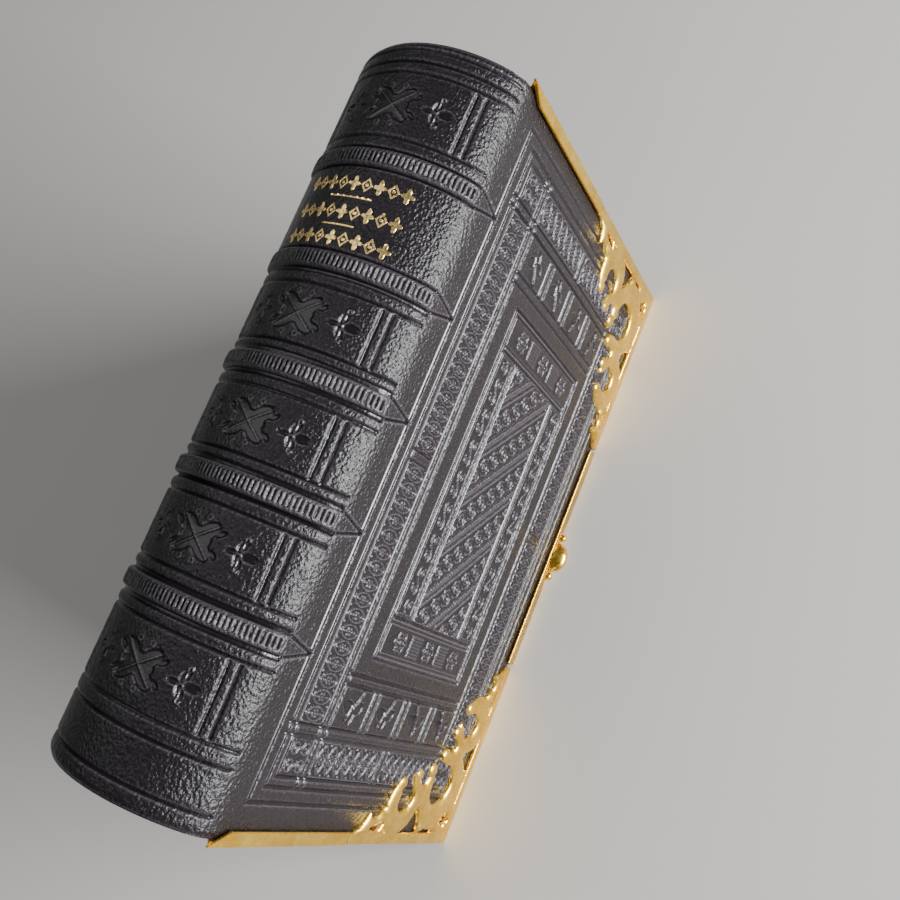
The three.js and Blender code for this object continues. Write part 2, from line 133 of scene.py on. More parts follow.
# Brass castings at the fore-edge corners, as (along the edge, in from the edge)
CASTING_BASE = 24.55
RIM_FACE = 25.5
RIM_INSIDE = 19.8
RIM_WALL = 1.0
RIM_LIP = 2.6
RIM_FLANGE = 3.2
CASTING_RISE = 1.7
CASTING_EDGE = 0.3
CASTING_CELL = 0.3
LIP_DEPTH = 0.5
BRASS_CREASE = 40
CASTING_ARM = 56.0
CASTING_LEAF = ((55.0, 2.6), (52.8, 4.2), (51.4, 6.2), (50.2, 8.9), (48.6, 7.7), (47.0, 7.2), (45.2, 7.6),
                (43.4, 8.6), (42.0, 6.0), (42.0, 2.6))
CASTING_SLOT = ((47.6, 4.1), (43.0, 4.1), (42.2, 5.6))
# Each scroll is a disc with an off-centre opening: centre, radius, centre and radius of the opening,
# the way out of it, half the width of that, its two rounded tips and their radius
ARM_SCROLL = ((35.0, 11.0), 8.6, (34.6, 12.6), 3.5, (39.8, 22.4), 2.3, ((39.2, 16.6), (32.0, 19.0)), 2.0)
CORNER_SCROLL = ((15.4, 15.4), 11.4, (17.0, 17.0), 5.4, (30.0, 30.0), 2.5, ((25.2, 20.8), (20.8, 25.2)), 2.2)
CASTING_LINKS = (((27.0, 13.4), 3.4), ((7.4, 7.4), 6.2), ((43.2, 6.4), 2.8), ((20.0, 5.6), 2.2))
QUATREFOIL = (7.1, 7.1)
FORE_ARM = 54.0
RAIL_END = 109.5
RAIL_SLANT = 6.2
LUG_REACH = 4.1
LUG_HALF = 7.4
LOBE_HALF = 4.6
LOBE_HEIGHT = 2.4
LOBE_CENTRE = 0.3
BEAD_PLACE = 6.2
BEAD_RADIUS = 1.2
BEAD_CENTRE = 1.4
BEAD_REACH = 0.8
KNOB_LOWEST = 0.2
KNOB_GAP = 0.08

# Gold ornament on the second panel of the spine: (distance from the head, pitch or half-length)
GOLD_ROWS = ((39.2, 3.4), (46.4, 3.4), (53.0, 3.4))
GOLD_REACH = 16.6
GOLD_SPANS = ((-18.5, 18.5), (36.0, 55.5))
GOLD_CELL = 0.17
GOLD_DEPTH = 0.12
GOLD_LIFT = 0.05
GOLD_RULES = ((42.6, 6.0), (49.7, 4.6))


# ---------- shapes as heights ----------

def ease(t):
    """From 0 to 1 as t goes from 0 to 1, with soft ends."""
    t = np.clip(t, 0.0, 1.0)
    return t * t * (3 - 2 * t)


def within(t, low, high, soft=0.35):
    """1 between low and high, and 0 outside, with soft ends."""
    return ease((t - low) / soft + 0.5) * ease((high - t) / soft + 0.5)


def line(distance, width):
    """1 on a line and 0 away from it."""
    return np.exp(-((distance / (0.46 * width)) ** 2))


def blob(distance, soft=0.35):
    """1 inside a shape whose edge is where the distance is 0."""
    return ease(0.5 - distance / soft)


def nearest(t, pitch):
    """Signed distance to the nearest of the points spaced by pitch."""
    return t - pitch * np.round(t / pitch)


def ellipse(a, b, ra, rb, turn=0.0):
    """Rough distance outside an ellipse at the origin."""
    ca, sa = math.cos(turn), math.sin(turn)
    u = (a * ca + b * sa) / ra
    v = (-a * sa + b * ca) / rb
    return (np.sqrt(u * u + v * v) - 1) * min(ra, rb)


def stroke(a, b, start, end, width):
    """1 along a straight stroke between two points."""
    dx, dy = end[0] - start[0], end[1] - start[1]
    t = np.clip(((a - start[0]) * dx + (b - start[1]) * dy) / (dx * dx + dy * dy), 0, 1)
    return line(np.hypot(a - start[0] - t * dx, b - start[1] - t * dy), width)


# ---------- cover tooling ----------

def eye_chain(along, across):
    """Lens-shaped stamps in a row, each with a diamond of dots."""
    pitch, reach, half = 3.8, 3.5, 1.72
    m = nearest(along - pitch / 2, pitch)
    bow = (reach**2 + half**2) / (2 * half)
    rim = np.hypot(across, np.abs(m) + bow - half) - bow
    height = 0.34 * line(rim + 0.12, 0.52)
    for a, b in ((0, 0), (1.05, 0), (-1.05, 0), (2.1, 0), (-2.1, 0), (0.52, 0.62), (-0.52, 0.62),
                 (0.52, -0.62), (-0.52, -0.62)):
        height = height + 0.26 * blob(np.hypot(across - a, m - b) - 0.27, 0.3)
    height = height + 0.3 * line(np.hypot(np.abs(across) - reach, np.abs(m) - 1.9) - 0.1, 0.5)
    return height


def ring_square(a, b):
    """Four rings in a square."""
    r = np.hypot(np.abs(a) - 1.95, np.abs(b) - 1.95)
    return 0.34 * line(r - 1.3, 0.55) + 0.28 * blob(r - 0.35, 0.35)


def rosette(a, b):
    r, t = np.hypot(a, b), np.arctan2(b, a)
    petals = 0.34 * line(r - 2.25 - 0.38 * np.cos(6 * t), 0.6)
    hearts = 0.24 * blob(r - 0.6, 0.4)
    buds = 0.26 * line(r - 1.35, 0.5) * (0.5 + 0.5 * np.cos(6 * t))
    return petals + hearts + buds


def hatched_square(a, b):
    inside = blob(np.maximum(np.abs(a) - 2.75, np.abs(b) - 2.85), 0.3)
    weave = 0.5 + 0.25 * np.cos(2 * np.pi * a / 0.82) + 0.25 * np.cos(2 * np.pi * b / 0.82)
    return inside * (0.14 + 0.2 * weave)


def vine(along, across):
    """An S-scrolled stem with curled leaves."""
    pitch = 8.4
    phase = 2 * np.pi * along / pitch
    stem = across - 1.05 * np.sin(phase)
    slope = np.sqrt(1 + (1.05 * 2 * np.pi / pitch * np.cos(phase)) ** 2)
    height = 0.32 * line(stem / slope, 0.6) * within(np.abs(nearest(along, pitch)), -1, 3.5)
    for side, start in ((1, 0.0), (-1, pitch / 2)):
        m = nearest(along - start - 2.1, pitch)
        curl = np.hypot(m + 0.1, across + side * 0.75) - 0.62
        height = height + 0.3 * line(curl, 0.46)
        height = height + 0.28 * blob(np.hypot(m - 1.0, across + side * 1.55) - 0.32, 0.35)
    return height


def ivy_leaf(a, b):
    """A smooth pressed leaf with a raised stalk, as (pressed, raised)."""
    body = np.minimum(ellipse(a + 1.7, b, 2.3, 1.35, 0.35), ellipse(a - 1.7, b, 2.3, 1.35, -0.35))
    body = np.minimum(body, ellipse(a, b - 1.6, 1.45, 2.3))
    pressed = blob(body, 0.6)
    raised = 0.4 * stroke(a, b, (-1.9, -4.0), (-0.3, -0.6), 0.6)
    raised = raised + 0.34 * stroke(a, b, (0.1, 0.0), (1.4, 3.0), 0.5)
    raised = raised + 0.3 * blob(np.hypot(a, b + 0.2) - 0.6, 0.4)
    return pressed, raised


def diagonal_field(p, q):
    """Slanting bands: a bold line, a chain of ringed flowers and a cable line."""
    slope = math.radians(FIELD_SLOPE)
    down = FIELD_OFFSET - (q * math.cos(slope) - p * math.sin(slope))
    step = FIELD_STEP
    across = down % step
    along = p * math.cos(slope) + q * math.sin(slope)
    height = -0.42 * (line(across, 0.8) + line(across - step, 0.8))
    beads = 0.5 + 0.5 * np.cos(2 * np.pi * along / 1.0)
    height = height + (0.12 + 0.2 * beads) * line(across - 7.9, 0.62)
    height = height - 0.2 * (line(across - 7.35, 0.4) + line(across - 8.45, 0.4))
    row = np.floor(down / step)
    m = nearest(along + 1.3 * row, 4.6)
    r = np.hypot(m, across - 3.9)
    height = height + 0.3 * line(r - 1.05, 0.46) + 0.22 * blob(r - 0.32, 0.3)
    turn = np.arctan2(across - 3.9, m)
    scallop = line(r - 2.15 - 0.16 * np.cos(8 * turn), 0.5) * ease((np.abs(np.sin(turn)) - 0.35) / 0.3)
    return height + 0.32 * scallop


def frame_lines(a, b, pairs, widths):
    """Grooves round rectangles, where a and b are distances from the middle."""
    height = 0.0
    for (half_a, half_b), width in zip(pairs, widths):
        down = line(a - half_a, width) * within(b, -1, half_b + width / 2)
        over = line(b - half_b, width) * within(a, -1, half_a + width / 2)
        height = height - np.maximum(down, over)
    return height


def cover_tooling(u, y):
    """Height and grain of a cover's face at u from the joint and y above the middle."""
    p, q = u - PANEL_MIDDLE, y - PANEL_RISE
    a, b = np.abs(p), np.abs(q)
    grooves = 0.45 * frame_lines(a, b, [PANEL_LINE], [0.95])
    grooves = grooves + 0.5 * frame_lines(a, b, OUTER_PAIR, [1.0, 0.95])
    for half_a, half_b in INNER_PAIR:
        down = line(a - half_a, 1.0) * within(b, -1, OUTER_PAIR[0][1])
        over = line(b - half_b, 0.95) * within(a, -1, OUTER_PAIR[0][0])
        grooves = grooves - 0.5 * np.maximum(down, over)
    for half_b in ROW_PAIR:
        grooves = grooves - 0.5 * line(b - half_b, 0.95) * within(a, -1, INNER_PAIR[1][0])
    grooves = grooves + 0.4 * frame_lines(a, b, FRAME_PAIR, [0.8, 0.8])
    for half_b in FIELD_PAIR:
        grooves = grooves - 0.4 * line(b - half_b, 0.8) * within(a, -1, FRAME_PAIR[1][0])
    for half_a in FIELD_SIDES:
        grooves = grooves - 0.4 * line(a - half_a, 0.8) * within(b, -1, FIELD_PAIR[1])

    # Double bars that break the rows
    in_row = within(b, ROW_PAIR[0] + 0.4, INNER_PAIR[1][1] - 0.4)
    in_palmettes = within(b, INNER_PAIR[0][1] + 0.4, OUTER_PAIR[1][1] - 0.4)
    in_chain = within(a, INNER_PAIR[0][0] + 0.4, OUTER_PAIR[1][0] - 0.4)
    for offset in (-BAR_OFFSET, BAR_OFFSET):
        bar = 0.48 * line(p - offset, 0.95)
        grooves = grooves - bar * in_row - bar * in_palmettes
        grooves = grooves - 0.48 * line(a - SIDE_BARS - offset, 0.95) * in_row
        grooves = grooves - 0.42 * line(q - offset, 0.8) * in_chain

    # Stamped rows and columns on a slightly sunken ground
    chain_middle = (INNER_PAIR[0][0] + OUTER_PAIR[1][0]) / 2
    row_middle = (INNER_PAIR[0][1] + OUTER_PAIR[1][1]) / 2
    column = within(a, chain_middle - CHAIN_HALF, chain_middle + CHAIN_HALF)
    column = column * within(b, 1.7, INNER_PAIR[1][1] - 0.8)
    palmettes = within(b, row_middle - CHAIN_HALF, row_middle + CHAIN_HALF)
    palmettes = palmettes * within(a, 1.9, INNER_PAIR[1][0] - 0.7)
    raised = column * eye_chain(b - 2.0, a - chain_middle)
    raised = raised + palmettes * eye_chain(a - 2.2, b - row_middle)
    raised = raised + ring_square(a - chain_middle, b - row_middle)
    flower_row = (FRAME_PAIR[1][1] + FIELD_PAIR[0]) / 2
    for centre in ROSETTE_PLACES:
        raised = raised + rosette(a - centre, b - flower_row)
    raised = raised + hatched_square(a - HATCHED_PLACE, b - flower_row)
    vine_middle = (FRAME_PAIR[1][0] + FIELD_SIDES[0]) / 2
    stems = within(a, vine_middle - 2.7, vine_middle + 2.7) * within(b, -1, FIELD_PAIR[1] - 1.5)
    raised = raised + stems * vine(q, a - vine_middle)
    field = within(a, -1, FIELD_SIDES[1] - 0.5) * within(b, -1, FIELD_PAIR[1] - 0.6)
    raised = raised + field * diagonal_field(p, q)

    pressed = 0.0
    for centre in LEAF_PLACES:
        leaf, veins = ivy_leaf(a - centre, b - LEAF_ROW)
        row = within(b, ROW_PAIR[0], INNER_PAIR[1][1])
        pressed = pressed + leaf * row
        raised = raised + veins * row

    ground = np.clip(column + palmettes + field, 0, 1)
    flowers = within(a, -1, FRAME_PAIR[1][0] - 0.5) * within(b, FIELD_PAIR[0] + 0.5, FRAME_PAIR[1][1] - 0.5)
    ground = np.maximum(np.maximum(ground, flowers), stems)
    height = grooves + 1.3 * raised - 0.22 * ground - 0.3 * pressed
    grain = np.clip(1 - 0.8 * pressed - 0.35 * ground - 4.5 * np.abs(grooves), 0.04, 1)
    return height, grain


def cover_form(u, y):
    """The cover's slow curve: a low cushion, bevelled down towards the rims."""
    across = (u - PANEL_MIDDLE) / (JOINT_HEIGHT / 2)
    along = y / COVER_HALF
    crown = COVER_CROWN * np.clip(1 - across**2, 0, 1) * np.clip(1 - np.abs(along) ** 5, 0, 1)
    over_fore = (u - PANEL_MIDDLE - PANEL_LINE[0]) / (JOINT_HEIGHT - PANEL_MIDDLE - PANEL_LINE[0])
    over_end = (np.abs(y) - PANEL_LINE[1]) / (BOARD_EDGE - PANEL_LINE[1])
    bevel = -BEVEL_DROP * np.clip(np.maximum(over_fore, over_end), 0, 1)
    return (crown + bevel) * ease((u - 1.0) / 9.0)


# ---------- spine tooling ----------

def spine_ornament(s, w):
    """Four pressed leaves laid in an X, flanked by small sprigs: (pressed, raised)."""
    a, b = np.abs(s), np.abs(w)
    leaves = ellipse(a - 2.6, b - 1.9, 3.4, 1.9, 0.62)
    heart = ellipse(s, w, 4.6, 2.6)
    tips = ellipse(a - 5.9, b - 2.3, 1.3, 0.7, 0.5)
    pressed = blob(np.minimum.reduce([leaves, heart, tips]), 0.6)
    raised = 0.26 * stroke(a, b, (0, 0), (5.4, 3.9), 0.36)
    raised = raised + 0.24 * line(np.hypot(a - 1.9, b - 4.9) - 0.6, 0.4)
    sprig = np.minimum.reduce([
        ellipse(a - 13.8, w, 1.9, 1.0),
        ellipse(a - 11.7, b - 1.6, 0.85, 1.6, -0.5),
        ellipse(a - 9.6, w, 1.5, 0.6),
    ])
    pressed = np.maximum(pressed, blob(sprig, 0.5))
    raised = raised + 0.32 * line(np.hypot(a - 12.2, b - 3.3) - 0.5, 0.4)
    raised = raised + 0.34 * stroke(a, b, (11.9, 0.9), (11.7, 2.9), 0.4)
    return pressed, raised


def spine_tooling(s, y):
    """Height and grain of the spine at s round from its middle and y above the middle."""
    v = COVER_HALF - y
    a = np.abs(s)
    on_spine = within(a, -1, FILLET_REACH, 1.2)
    height = np.zeros_like(s)
    grooves = np.zeros_like(s)
    pressed = np.zeros_like(s)
    for place in SPINE_FILLETS:
        grooves = grooves + 0.5 * line(v - place, 0.95) * on_spine
    for place in BANDS:
        # The band and its two borders narrow to a point on the cover
        taper = np.clip((BAND_POINT - a) / BAND_TAPER, 0, 1)
        half = BAND_HALF * taper
        swell = ease((30.5 - a) / 5.0)
        rise = np.sqrt(np.clip(1 - ((v - place) / (BAND_HALF + 0.35)) ** 4, 0, 1))
        height = height + BAND_RISE * rise * swell
        for side in (-1, 1):
            border = line(v - place - side * (half + 0.6 * taper), 0.75)
            grooves = grooves + 0.55 * border * ease((BAND_POINT + 0.5 - a) / 1.5)
        ribs = 0.5 + 0.5 * np.cos(2 * np.pi * s / 1.2)
        height = height - 0.5 * ribs**2 * blob(np.abs(v - place) - 1.3, 0.4) * within(a, -1, 27.4, 1.0)
    for top, bottom in SPINE_PANELS:
        for place in SPINE_SIDE_LINES:
            grooves = grooves + 0.55 * line(a - place, 1.0) * within(v, top, bottom)
        shape, raised = spine_ornament(s, v - (top + bottom) / 2)
        pressed = np.maximum(pressed, shape)
        height = height + raised
    grain = np.clip(1 - 0.85 * pressed - 1.2 * grooves, 0.05, 1)
    # The leather is turned over at the head and the tail
    end = np.clip((np.abs(y) - (SPINE_HALF - HEAD_TURN)) / HEAD_TURN, 0, 1)
    height = height - 1.5 * (1 - np.sqrt(np.clip(1 - end**2, 0, 1)))
    return height - grooves - 0.35 * pressed, grain


# ---------- the leather's surface ----------

def value_noise(a, b, size, seed):
    """Smooth noise from -1 to 1 with lumps of about that size."""
    table = np.random.default_rng(seed).uniform(-1, 1, (256, 256))
    a, b = a / size, b / size
    ia, ib = np.floor(a).astype(int), np.floor(b).astype(int)
    fa, fb = ease(a - ia), ease(b - ib)

    def corner(da, db):
        return table[(ia + da) % 256, (ib + db) % 256]

    low = corner(0, 0) * (1 - fa) + corner(1, 0) * fa
    high = corner(0, 1) * (1 - fa) + corner(1, 1) * fa
    return low * (1 - fb) + high * fb


def section(s):
    """Point and outward direction on the section at s round from the spine's middle."""
    a = np.abs(s)
    angle = np.where(a < ARC_END, a / SPINE_RADIUS,
                     np.minimum(SHOULDER_ANGLE + (a - ARC_END) / SHOULDER_RADIUS, math.pi / 2))
    nx, nz = np.sin(angle), np.cos(angle)
    on_arc = a < ARC_END
    x = np.where(on_arc, SPINE_RADIUS * nx, SHOULDER_X + SHOULDER_RADIUS * nx)
    z = np.where(on_arc, SPINE_CENTRE + SPINE_RADIUS * nz, SHOULDER_Z + SHOULDER_RADIUS * nz)
    z = z - np.maximum(a - SHOULDER_END, 0)
    return x * np.sign(s + 1e-9), z, nx * np.sign(s + 1e-9), nz


def leather_height(s, y):
    """Height and grain anywhere on the binding."""
    u = np.abs(s) - SHOULDER_END + (JOINT_HEIGHT - SHOULDER_Z)
    spine, spine_grain = spine_tooling(s, y)
    cover, cover_grain = cover_tooling(u, y)
    share = ease((u - 5.5) / 2.0)
    height = spine + cover * share + cover_form(u, y) * ease(u / 6)
    lumps = 0.022 * value_noise(s + 300, y + 300, 1.3, 1) + 0.04 * value_noise(s + 300, y + 300, 0.62, 2)
    grain = np.minimum(spine_grain, cover_grain * share + 1 - share)
    height = height + lumps * grain
    return height, grain


# ---------- meshes ----------

def new_mesh(name, points, faces, smooth=True):
    """A mesh object from points in millimetres."""
    mesh = bpy.data.meshes.new(name)
    mesh.from_pydata([tuple(p) for p in np.asarray(points, float) * MM], [], faces)
    mesh.update()
    if smooth:
        mesh.polygons.foreach_set("use_smooth", np.ones(len(mesh.polygons), bool))
    obj = bpy.data.objects.new(name, mesh)
    bpy.context.scene.collection.objects.link(obj)
    return obj


def set_attribute(obj, name, values):
    """Stores one number for each point, which a material can read."""
    attribute = obj.data.attributes.new(name, "FLOAT", "POINT")
    attribute.data.foreach_set("value", np.asarray(values, np.float32))


def leather_skin(name, s_values):
    """A closed sheet of tooled leather that follows the section across the spine."""
    y_values = steps(-SPINE_HALF, SPINE_HALF, GRID)
    s, y = np.meshgrid(s_values, y_values, indexing="ij")
    height, grain = leather_height(s, y)
    x, z, nx, nz = section(s)

    def back(s):
        x, z, nx, nz = (float(v) for v in section(np.array(s)))
        return x - nx * SKIN, z - nz * SKIN

    return closed_sheet(name, (x + nx * height, y, z + nz * height), height, grain, back, s_values, y_values)


def painted_highlight_edges(height, cell):
    """1 on the ridges and edges that get a painted highlight, and 0 elsewhere."""
    padded = np.pad(height, 1, mode="edge")
    around = padded[:-2, 1:-1] + padded[2:, 1:-1] + padded[1:-1, :-2] + padded[1:-1, 2:]
    return np.clip((4 * height - around) / cell**2 / EDGE_CURVE - 0.3, 0, 1)


def closed_sheet(name, top, height, grain, back, s_values, y_values):
    """A sheet with a formed outer side, and a plain inner side given by back(s)."""
    rows, columns = len(s_values), len(y_values)
    points = np.stack([top[0] + MIDDLE_X, top[1], top[2]], -1).reshape(-1, 3)
    index = np.arange(rows * columns).reshape(rows, columns)
    quads = np.stack([index[:-1, :-1], index[1:, :-1], index[1:, 1:], index[:-1, 1:]], -1)
    faces = quads.reshape(-1, 4).tolist()
    start = rows * columns
    low, high = y_values[0], y_values[-1]
    under = []
    for s in s_values:
        x, z = back(s)
        under.append((x + MIDDLE_X, low, z))
        under.append((x + MIDDLE_X, high, z))
    for i in range(rows - 1):
        a, b = start + 2 * i, start + 2 * i + 2
        faces.append([a, a + 1, b + 1, b])
        faces.append([int(index[i, 0]), a, b, int(index[i + 1, 0])])
        faces.append([int(index[i, -1]), int(index[i + 1, -1]), b + 1, a + 1])
    last = start + 2 * (rows - 1)
    faces.append(index[0, :].tolist() + [start + 1, start])
    faces.append(index[-1, ::-1].tolist() + [last, last + 1])
    obj = new_mesh(name, np.vstack([points, np.array(under)]), faces)
    if s_values[0] > s_values[-1]:
        obj.data.flip_normals()
    set_attribute(obj, "grain", np.concatenate([grain.ravel(), np.full(2 * rows, 0.5)]))
    # Mask for the painted highlight: 1 on the tooling's sharp ridges, which the leather's material paints
    # paler
    set_attribute(obj, "wear_and_painted_highlight", np.concatenate([painted_highlight_edges(height, GRID).ravel(), np.zeros(2 * rows)]))
    sharpen(obj)
    return obj


def sharpen(obj, degrees=50):
    """Keeps hard edges crisp under smooth shading."""
    obj.data.set_sharp_from_angle(angle=math.radians(degrees))


def steps(low, high, size):
    """Evenly spaced values from low to high, about that size apart."""
    return np.linspace(low, high, max(2, int(round(abs(high - low) / size)) + 1))


def smooth_outline(points, parts=3):
    """Rounds a chain of points by a spline through them."""
    points = np.array(points, float)
    result = []
    for i in range(len(points) - 1):
        before = points[max(i - 1, 0)]
        start, end = points[i], points[i + 1]
        after = points[min(i + 2, len(points) - 1)]
        for t in np.arange(parts) / parts:
            pull_a, pull_b = (end - before) / 2, (after - start) / 2
            result.append((2 * t**3 - 3 * t**2 + 1) * start + (t**3 - 2 * t**2 + t) * pull_a
                          + (3 * t**2 - 2 * t**3) * end + (t**3 - t**2) * pull_b)
    result.append(points[-1])
    return np.array(result)


def outline_distance(a, b, points):
    """Distance to a closed outline, negative inside it."""
    distance = np.full(a.shape, 1e9)
    inside = np.zeros(a.shape, bool)
    for (x0, y0), (x1, y1) in zip(points, np.roll(points, -1, axis=0)):
        dx, dy = x1 - x0, y1 - y0
        t = np.clip(((a - x0) * dx + (b - y0) * dy) / (dx * dx + dy * dy + 1e-12), 0, 1)
        distance = np.minimum(distance, np.hypot(a - x0 - t * dx, b - y0 - t * dy))
        if y0 != y1:
            crosses = ((y0 > b) != (y1 > b)) & (a < (x1 - x0) * (b - y0) / (y1 - y0) + x0)
            inside ^= crosses
    return np.where(inside, -distance, distance)


def channel(a, b, start, end, half_start, half_end):
    """Distance outside a slot from start to end, whose half-width changes along it."""
    dx, dy = end[0] - start[0], end[1] - start[1]
    t = np.clip(((a - start[0]) * dx + (b - start[1]) * dy) / (dx * dx + dy * dy), 0, 1)
    return np.hypot(a - start[0] - t * dx, b - start[1] - t * dy) - (half_start + t * (half_end - half_start))


def relief(name, distance, spans, cell, place):
    """A closed raised piece whose outline is where distance(a, b) is 0.

    place(a, b, inside, under) gives the points. under is True for the flat lower side.
    """
    (low_a, high_a), (low_b, high_b) = spans
    a, b = np.meshgrid(steps(low_a, high_a, cell), steps(low_b, high_b, cell), indexing="ij")
    d = distance(a, b)
    grad_a, grad_b = np.gradient(d, a[1, 0] - a[0, 0], b[0, 1] - b[0, 0])
    size = np.maximum(grad_a**2 + grad_b**2, 0.2)
    near = np.abs(d) < 0.52 * cell
    a = np.where(near, a - d * grad_a / size, a)
    b = np.where(near, b - d * grad_b / size, b)
    keep = near | (d < 0)
    inside = np.where(near, 0.0, np.maximum(-d, 0.0))
    index = np.where(keep, np.cumsum(keep.ravel()).reshape(keep.shape) - 1, -1)
    top = np.stack(place(a[keep], b[keep], inside[keep], False), -1)
    bottom = np.stack(place(a[keep], b[keep], inside[keep], True), -1)
    faces = []
    kept = keep.astype(int)
    kept_corners = kept[:-1, :-1] + kept[1:, :-1] + kept[1:, 1:] + kept[:-1, 1:]
    for i, j in zip(*np.nonzero(kept_corners >= 3)):
        corners = [index[i, j], index[i + 1, j], index[i + 1, j + 1], index[i, j + 1]]
        faces.append([int(c) for c in corners if c >= 0])
    count = len(top)
    edges = {(f[k], f[(k + 1) % len(f)]) for f in faces for k in range(len(f))}
    walls = [[i, i + count, j + count, j] for i, j in edges if (j, i) not in edges]
    unders = [[k + count for k in reversed(f)] for f in faces]
    obj = new_mesh(name, np.vstack([top, bottom]), faces + walls + unders)
    tidy_mesh(obj)
    return obj


def tidy_mesh(obj):
    """Drops unused points, and turns all faces outwards."""
    work = bmesh.new()
    work.from_mesh(obj.data)
    bmesh.ops.delete(work, geom=[v for v in work.verts if not v.link_faces], context="VERTS")
    bmesh.ops.recalc_face_normals(work, faces=work.faces)
    work.to_mesh(obj.data)
    work.free()


def slab(name, outline, low, high, place):
    """A plate from an outline, between two heights."""
    count = len(outline)
    a, b = np.array(outline, float).T
    points = np.vstack([np.stack(place(a, b, np.full(count, h)), -1) for h in (low, high)])
    sides = [[k, (k + 1) % count, (k + 1) % count + count, k + count] for k in range(count)]
    ends = [list(range(count)), list(range(2 * count - 1, count - 1, -1))]
    obj = new_mesh(name, points, ends + sides, smooth=False)
    tidy_mesh(obj)
    return obj


def join(objects, name):
    """Makes one object of several."""
    work = bmesh.new()
    for obj in objects:
        work.from_mesh(obj.data)
    mesh = bpy.data.meshes.new(name)
    work.to_mesh(mesh)
    work.free()
    for obj in objects:
        bpy.data.objects.remove(obj)
    joined = bpy.data.objects.new(name, mesh)
    bpy.context.scene.collection.objects.link(joined)
    return joined


# ---------- materials ----------

class Nodes:
    """Short calls for building a material."""

    def __init__(self, name):
        self.material = bpy.data.materials.new(name)
        self.material.use_nodes = True
        self.tree = self.material.node_tree
        self.shader = self.tree.nodes["Principled BSDF"]
        self.place = self.tree.nodes.new("ShaderNodeTexCoord").outputs["Object"]

    def set(self, **values):
        for name, value in values.items():
            self.shader.inputs[name.replace("_", " ")].default_value = value
        return self

    def node(self, kind, **inputs):
        node = self.tree.nodes.new("ShaderNode" + kind)
        for name, value in inputs.items():
            self.feed(node.inputs[name.replace("_", " ")], value)
        return node

    def feed(self, socket, value):
        if isinstance(value, bpy.types.NodeSocket):
            self.tree.links.new(value, socket)
        else:
            socket.default_value = value

    def link(self, source, name):
        self.tree.links.new(source, self.shader.inputs[name])

    def facing(self):
        return self.tree.nodes.new("ShaderNodeTexCoord").outputs["Normal"]

    def stretched(self, x, y, z):
        mapping = self.node("Mapping", Vector=self.place)
        mapping.inputs["Scale"].default_value = (x, y, z)
        return mapping.outputs["Vector"]

    def noise(self, scale, detail, place=None):
        return self.node("TexNoise", Vector=place or self.place, Scale=scale, Detail=detail,
                         Roughness=0.55).outputs["Fac"]

    def cells(self, scale, place=None):
        node = self.node("TexVoronoi", Vector=place or self.place, Scale=scale, Randomness=1.0)
        node.feature = "SMOOTH_F1"
        return node.outputs["Distance"]

    def wave(self, scale, direction):
        node = self.node("TexWave", Vector=self.place, Scale=scale, Distortion=0.0)
        node.bands_direction = direction
        return node.outputs["Fac"]

    def math(self, operation, a, b=0.0):
        node = self.tree.nodes.new("ShaderNodeMath")
        node.operation = operation
        self.feed(node.inputs[0], a)
        self.feed(node.inputs[1], b)
        return node.outputs[0]

    def remap(self, value, low, high, to_low, to_high):
        node = self.tree.nodes.new("ShaderNodeMapRange")
        for socket, entry in zip(node.inputs, (value, low, high, to_low, to_high)):
            self.feed(socket, entry)
        return node.outputs["Result"]

    def mix(self, share, first, second):
        node = self.tree.nodes.new("ShaderNodeMix")
        node.data_type = "RGBA"
        self.feed(node.inputs["Factor"], share)
        self.feed(node.inputs[6], (*first, 1.0) if isinstance(first, tuple) else first)
        self.feed(node.inputs[7], (*second, 1.0) if isinstance(second, tuple) else second)
        return node.outputs[2]

    def attribute(self, name):
        node = self.tree.nodes.new("ShaderNodeAttribute")
        node.attribute_name = name
        return node.outputs["Fac"]

    def bump(self, height, distance, strength=1.0):
        return self.node("Bump", Height=height, Distance=distance, Strength=strength).outputs["Normal"]


def leather_material():
    """Black goatskin: pebbled where it is bare, smooth and darker where tools pressed it, with a painted
    highlight on the tooling's ridges.
    """
    n = Nodes("black_leather")
    n.set(IOR=1.5, Specular_IOR_Level=0.4)
    grain = n.attribute("grain")
    pebbles = n.cells(1650.0, n.stretched(1.0, 0.75, 1.0))
    fine = n.noise(3200.0, 4.0)
    creases = n.noise(700.0, 5.0, n.stretched(1.0, 1.8, 1.0))
    lumps = n.math("ADD", pebbles, n.math("MULTIPLY", fine, 0.45))
    height = n.math("MULTIPLY", n.math("ADD", lumps, n.math("MULTIPLY", creases, 0.6)), grain)
    n.link(n.bump(height, 0.00024), "Normal")
    # Painted highlight: the tooling's ridges are mixed towards a paler grey, standing in for glints of light
    # on the relief
    wear_and_painted_highlight = n.attribute("wear_and_painted_highlight")
    tint = n.mix(n.noise(60.0, 3.0), (0.0030, 0.0019, 0.0028), (0.0075, 0.0046, 0.0066))
    n.link(n.mix(wear_and_painted_highlight, tint, (0.05, 0.044, 0.051)), "Base Color")
    worn = n.math("ADD", n.math("MULTIPLY", creases, 0.16), n.math("MULTIPLY", grain, 0.08))
    n.link(n.math("ADD", worn, 0.19), "Roughness")
    return n.material


def brass_material():
    """Gilt brass, a little uneven, with darker lacquer in patches."""
    n = Nodes("gilt_brass")
    n.set(Metallic=1.0)
    patches = n.noise(180.0, 4.0)
    colour = n.mix(n.remap(patches, 0.35, 0.7, 0.0, 1.0), (0.78, 0.46, 0.055), (0.95, 0.64, 0.12))
    n.link(colour, "Base Color")
    n.link(n.remap(n.noise(900.0, 5.0), 0.3, 0.7, 0.20, 0.36), "Roughness")
    n.link(n.bump(n.noise(1500.0, 3.0), 0.00004, 0.5), "Normal")
    return n.material


